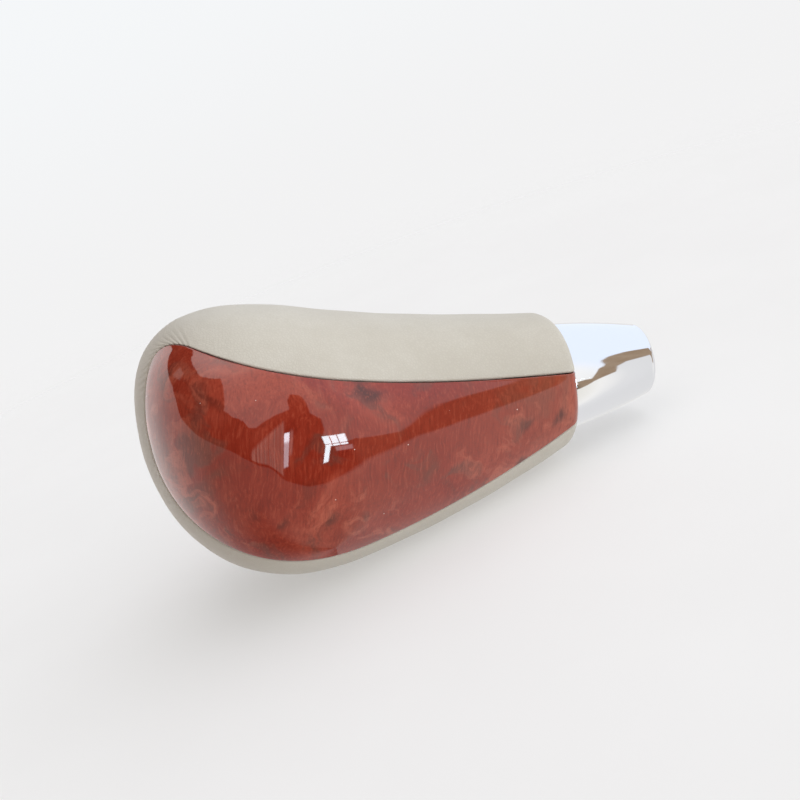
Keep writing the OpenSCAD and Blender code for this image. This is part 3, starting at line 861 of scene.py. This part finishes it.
def dim_side(tree, az, el, az_rough, el_rough, off_table):
    """1 on the dim side of the room, which four lines and the table bound, less in a gap."""
    top = curve(tree, az_rough, [
        (-180, 50), (-165, 62), (-150, 70), (-130, 72), (-100, 70), (-70, 66), (-60, 62),
        (-20, 61), (180, 61),
    ], *UP_DOWN)
    side = curve(tree, el_rough, [
        (-90, 60), (18, 60), (20, -17), (24, -25), (30, -31), (35, -28), (42, -25), (53, -21),
        (90, -19),
    ], *ALL_ROUND)
    brow = curve(tree, az, [
        (-180, 90), (-19, 90), (-17, 19), (-16, 14), (-10, 13), (-2, 16), (10, 19), (20, 20),
        (24, 27), (30, 31), (34, 28), (35, 14), (36, -12), (38, -13.5), (41, -6), (44, 1),
        (47, 3), (50, 12), (55, 16), (62, 17), (75, 12), (80, 4), (90, -20), (180, -20),
    ], *UP_DOWN)
    flank = curve(tree, el, [
        (-90, 90), (-13, 90), (-12, 22), (-5, 24), (-1, 27), (7, 30), (13, 28), (21, 32),
        (26, 34), (90, 34),
    ], *ALL_ROUND)
    gap = product(
        tree, between(tree, az, -108.0, -93.0, 3.0), between(tree, el_rough, 46.0, 57.0, 1.5)
    )
    return product(
        tree, below(tree, el_rough, top, 1.0), below(tree, el, brow, 0.7),
        either(tree, below(tree, az, side, 1.2), span(tree, az, -12.0, -10.0)),
        either(tree, below(tree, az, flank, 0.7), span(tree, az, 36.0, 38.0)),
        off_table, span(tree, gap, 0.0, 1.0, 1.0, 0.45),
    )


def cloth_on_table(tree, az, el, edge, lean):
    """1 on a streaky light cloth that hangs over the table's edge."""
    line = add(tree, "ShaderNodeCombineXYZ", {0: lean}).outputs[0]
    smear = noise(tree, line, 0.7, 3.0, 0.6).outputs[0]
    return product(
        tree, between(tree, lean, -22.0, 3.0, 1.5),
        below(tree, el, slanted(tree, az, 8.0, 0.42, 1.0), 1.5),
        below(tree, calc(tree, "ADD", edge, 2.0), el, 0.8),
        span(tree, smear, 0.36, 0.62, 0.30, 1.0),
    )


def window_glass(tree, el, lean, across, down):
    """1 on a window with bars, and on the narrow pane below it."""
    pane = product(
        tree, between(tree, across, 24.4, 35.0, 0.4), between(tree, down, -5.9, 1.1, 0.4)
    )
    narrow = product(
        tree, between(tree, lean, 29.4, 32.2, 0.4), between(tree, el, -19.3, -10.5, 0.4)
    )
    bars = between(tree, down, -4.75, -4.3, 0.2)
    for place in (27.7, 31.2):
        bars = either(tree, bars, between(tree, across, place, place + 0.4, 0.2))
    return either(tree, product(tree, pane, inverse(tree, bars)), narrow)


def room_seen(tree, ray, az, el):
    """What polished surfaces reflect: a pale room with one dim side and two windows."""
    specks = noise(tree, ray, 9.0, 4.0, 0.6).outputs["Color"]
    ragged = add(tree, "ShaderNodeSeparateColor", {0: specks}).outputs
    el_rough = broken(tree, el, ragged[0], 6.0)
    az_rough = broken(tree, az, ragged[1], 8.0)
    edge = curve(tree, az, [
        (-180, 20), (-165, 40), (-150, 47), (-120, 43), (-100, 38), (-90, 29), (-85, 19),
        (-70, 11), (-55, 6), (-40, 1), (-30, -5), (-22, -10), (-15, -12.5), (-8, -19), (5, -26),
        (15, -27.5), (34, -25.5), (38, -19), (45, -13), (47.5, -4), (52, 0.5), (58, 0.5),
        (75, 6), (110, 4), (180, 4),
    ], *UP_DOWN)
    on_table = below(tree, el, edge, 1.0)
    seen = pale_room(tree, az, el, on_table)

    brown = mix(tree, ragged[2], (0.30, 0.19, 0.11), (0.50, 0.38, 0.27))
    shade = mix(tree, span(tree, az, 31.0, 35.0), (0.03, 0.02, 0.015), brown)
    dim = dim_side(tree, az, el, az_rough, el_rough, inverse(tree, on_table))
    seen = mix(tree, dim, seen, shade)

    lean = slanted(tree, az, el, 1.0, -0.632)
    cloth = cloth_on_table(tree, az, el, edge, lean)
    seen = mix(tree, cloth, seen, (1.7, 1.45, 1.25))

    # An upright lit strip, with a dull one beside it
    strip = product(
        tree, between(tree, lean, 3.3, 6.7, 0.5), between(tree, el, -14.5, 4.3, 0.6)
    )
    off_middle = calc(tree, "ABSOLUTE", calc(tree, "SUBTRACT", el, 2.0))
    shine = span(tree, off_middle, 5.0, 2.0, 5.0, 14.0)
    seen = mix(tree, strip, seen, tinted(tree, shine, (0.88, 1.0, 1.12)))
    dull = product(tree, between(tree, lean, 7.2, 9.0, 0.8), between(tree, el, -9.0, 5.0, 2.0))
    seen = mix(tree, dull, seen, (1.6, 1.3, 1.2))

    across, down = slanted(tree, az, el, 1.0, -0.18), slanted(tree, az, el, 0.24, 1.0)
    sill = product(
        tree, between(tree, across, 28.8, 36.5, 0.5), between(tree, down, -9.2, -6.6, 0.6)
    )
    seen = mix(tree, sill, seen, (2.6, 2.2, 2.3))
    glass = window_glass(tree, el, lean, across, down)
    return mix(tree, glass, seen, (13.5, 17.0, 18.5))


def surroundings():
    """Plain for the camera, a soft even dome for the light, and a pale room for reflections."""
    world = bpy.data.worlds.new("studio")
    bpy.context.scene.world = world
    world.use_nodes = True
    tree = world.node_tree
    tree.nodes.clear()
    ray = add(tree, "ShaderNodeTexCoord").outputs["Generated"]
    x, y, z = add(tree, "ShaderNodeSeparateXYZ", {0: ray}).outputs
    az = calc(tree, "DEGREES", calc(tree, "ARCTAN2", x, calc(tree, "MULTIPLY", y, -1.0)))
    el = calc(tree, "DEGREES", calc(tree, "ARCSINE", z))

    level = calc(tree, "MULTIPLY_ADD", x, 0.82, calc(tree, "MULTIPLY_ADD", z, 0.06, 0.84))
    level = calc(tree, "MULTIPLY_ADD", y, -0.42, level)
    tint = mix(tree, span(tree, x, -1.0, 1.0), (1.0, 0.94, 0.90), (0.965, 1.0, 1.045))
    soft = tinted(tree, either(tree, level, 0.05), tint)

    path = add(tree, "ShaderNodeLightPath").outputs
    light = mix(tree, path["Is Glossy Ray"], soft, room_seen(tree, ray, az, el))
    plain = mix(tree, span(tree, el, -9.0, 6.0), (0.890, 0.888, 0.892), (0.913, 0.930, 0.945))
    light = mix(tree, path["Is Camera Ray"], light, plain)
    glow = add(tree, "ShaderNodeBackground", {"Color": light, "Strength": 1.0}).outputs[0]
    add(tree, "ShaderNodeOutputWorld", {"Surface": glow})


place_camera()
floor()
surroundings()
area_light("key", (0.15, 0.0, 0.85), (0, 0, 0.02), (0.8, 0.6), 0.7, (1.0, 0.985, 0.965))

scene = bpy.context.scene
scene.view_settings.view_transform = "Standard"
scene.view_settings.look = "None"
